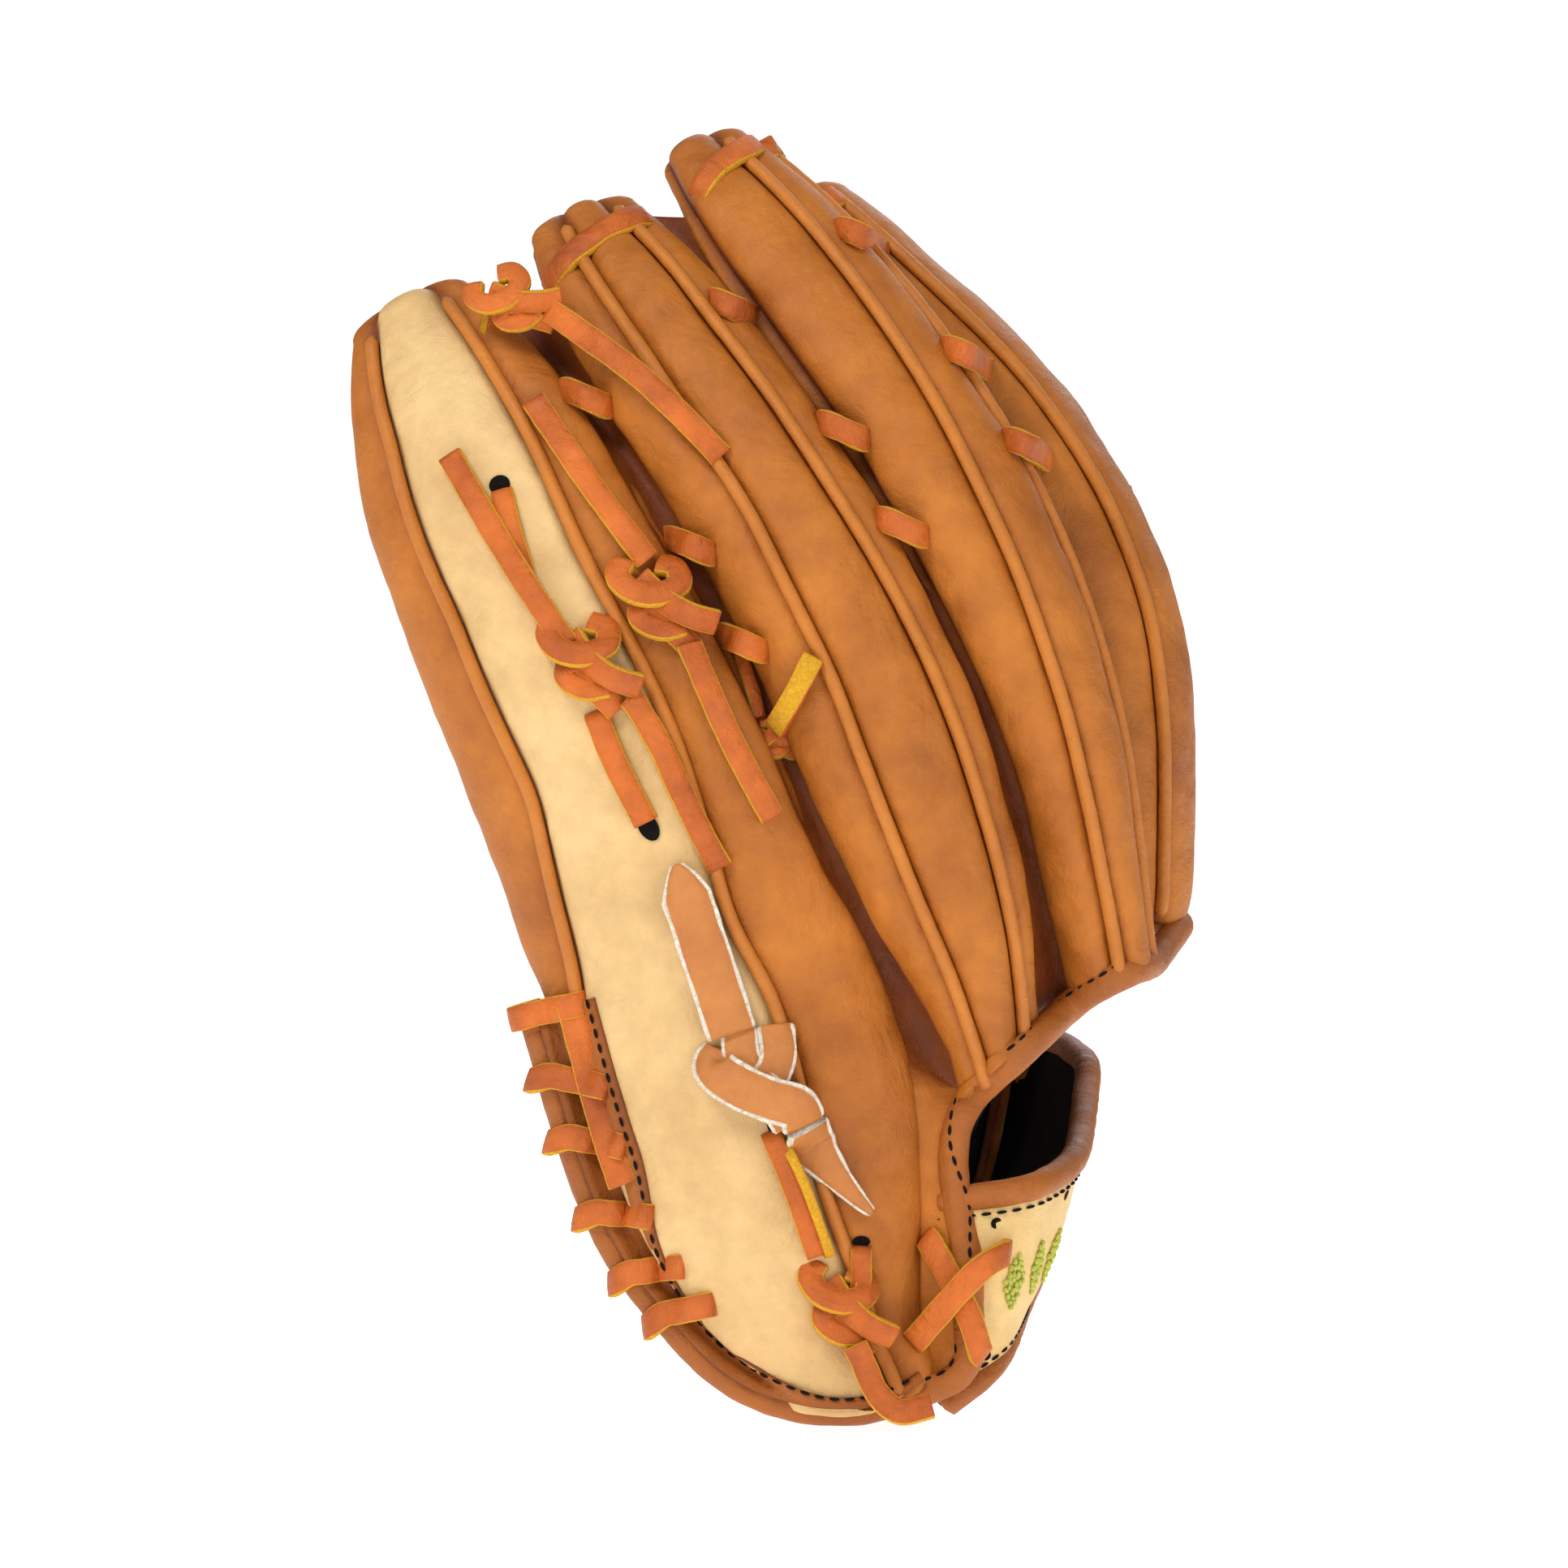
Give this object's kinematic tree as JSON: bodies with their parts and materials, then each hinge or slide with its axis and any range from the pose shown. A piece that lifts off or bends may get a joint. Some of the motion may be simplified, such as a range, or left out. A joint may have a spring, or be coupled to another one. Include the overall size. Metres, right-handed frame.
{
  "type": "baseball glove",
  "caption": "Left-hand fielding glove with padded finger stalls, T-shaped web, laced wrist strap and loose rawhide lace tails; the thumb side folds toward the fingers.",
  "frame": {"origin": "centre of the hand opening at the heel", "axes": "+Z from the heel toward the fingertips, +Y from the finger backs toward the thumb, +X toward the web"},
  "size_m": [0.1911, 0.1588, 0.2961],
  "materials": {
    "tan_leather": "oiled full-grain, fine creases",
    "blond_leather": "pale oiled full-grain",
    "piping_leather": "rolled cord covered in leather",
    "binding_leather": "rolled edge, stitched",
    "lace_rawhide": "waxed rawhide with yellow cut edges",
    "lining": "black deer-skin lining",
    "felt": "pressed wool felt",
    "stay": "moulded stiffener"
  },
  "bodies": {
    "finger_side": {"crotch_laces": "lace_rawhide", "finger_linings": "lining", "finger_pads": "felt", "finger_welts": "piping_leather", "heel_binding": "binding_leather", "heel_lace": "lace_rawhide", "index_back_left": "tan_leather", "index_back_right": "tan_leather", "index_front": "tan_leather", "lace_knots": "lace_rawhide", "middle_back_centre": "tan_leather", "middle_back_left": "tan_leather", "middle_back_right": "tan_leather", "middle_front": "tan_leather", "opening_binding": "binding_leather", "palm_fingers": "tan_leather", "palm_lining_fingers": "lining", "palm_pad_fingers": "felt", "pinky_back_centre": "blond_leather", "pinky_back_left": "tan_leather", "pinky_back_right": "tan_leather", "pinky_front": "tan_leather", "pinky_stay": "stay", "pull_strap": "lace_rawhide", "pull_strap_knot": "lace_rawhide", "ring_back_centre": "tan_leather", "ring_back_left": "tan_leather", "ring_back_right": "tan_leather", "ring_front": "tan_leather", "strap_bindings": "binding_leather", "strap_lace": "lace_rawhide", "strap_padding": "felt", "tip_lace": "lace_rawhide", "wrist_strap": "blond_leather"},
    "thumb_side": {"palm_lining_thumb": "lining", "palm_pad_thumb": "felt", "palm_thumb": "tan_leather", "strap_tab": "blond_leather", "strap_tab_bindings": "binding_leather", "thumb_back_centre": "blond_leather", "thumb_back_left": "tan_leather", "thumb_back_right": "tan_leather", "thumb_binding": "binding_leather", "thumb_front": "tan_leather", "thumb_lining": "lining", "thumb_pad": "felt", "thumb_stay": "stay", "thumb_welts": "piping_leather"},
    "web": {"web_bar": "tan_leather", "web_lace_index": "lace_rawhide", "web_lace_thumb": "lace_rawhide", "web_post": "tan_leather"},
    "tail_a_lower": {"tail_a_lower": "lace_rawhide"},
    "tail_a_upper": {"tail_a_upper": "lace_rawhide"},
    "tail_b_lower": {"tail_b_lower": "lace_rawhide"},
    "tail_b_upper": {"tail_b_upper": "lace_rawhide"},
    "tail_heel": {"tail_heel": "lace_rawhide"},
    "tail_pull": {"tail_pull": "lace_rawhide"},
    "tail_tip": {"tail_tip": "lace_rawhide"}
  },
  "joints": [
    {"name": "pocket_close", "type": "hinge", "parent": "finger_side", "child": "thumb_side", "pos_m": [-0.02, 0, 0], "axis": [0.3846, 0.1131, 0.9161], "range_deg": [-8, 30]},
    {"name": "web_follow", "type": "hinge", "parent": "finger_side", "child": "web", "pos_m": [-0.02, 0, 0], "axis": [0.3846, 0.1131, 0.9161], "range_deg": [-4, 15]},
    {"name": "tail_a_upper_lift", "type": "hinge", "parent": "finger_side", "child": "tail_a_upper", "pos_m": [-0.075, -0.07464, 0.17], "axis": [0.8538, 0, 0.5206], "range_deg": [0, 35]},
    {"name": "tail_a_lower_lift", "type": "hinge", "parent": "finger_side", "child": "tail_a_lower", "pos_m": [-0.059, -0.07736, 0.155], "axis": [-0.8847, 0, -0.4662], "range_deg": [0, 30]},
    {"name": "tail_b_upper_lift", "type": "hinge", "parent": "finger_side", "child": "tail_b_upper", "pos_m": [-0.058, -0.07391, 0.188], "axis": [0.8247, 0, 0.5655], "range_deg": [0, 30]},
    {"name": "tail_b_lower_lift", "type": "hinge", "parent": "finger_side", "child": "tail_b_lower", "pos_m": [-0.0465, -0.07656, 0.166], "axis": [-0.904, 0, -0.4276], "range_deg": [0, 30]},
    {"name": "tail_tip_lift", "type": "hinge", "parent": "finger_side", "child": "tail_tip", "pos_m": [-0.077, -0.05353, 0.243], "axis": [-0.6668, 0, -0.7452], "range_deg": [0, 25]},
    {"name": "tail_heel_lift", "type": "hinge", "parent": "finger_side", "child": "tail_heel", "pos_m": [-0.01, -0.06077, 0.012], "axis": [-0.8137, 0, -0.5812], "range_deg": [0, 30]},
    {"name": "tail_pull_lift", "type": "hinge", "parent": "finger_side", "child": "tail_pull", "pos_m": [-0.021, -0.06827, 0.059], "axis": [-0.7809, 0, -0.6247], "range_deg": [0, 35]}
  ],
  "couplings": [
    {"joint": "web_follow", "follows": "pocket_close", "ratio": 0.5}
  ]
}
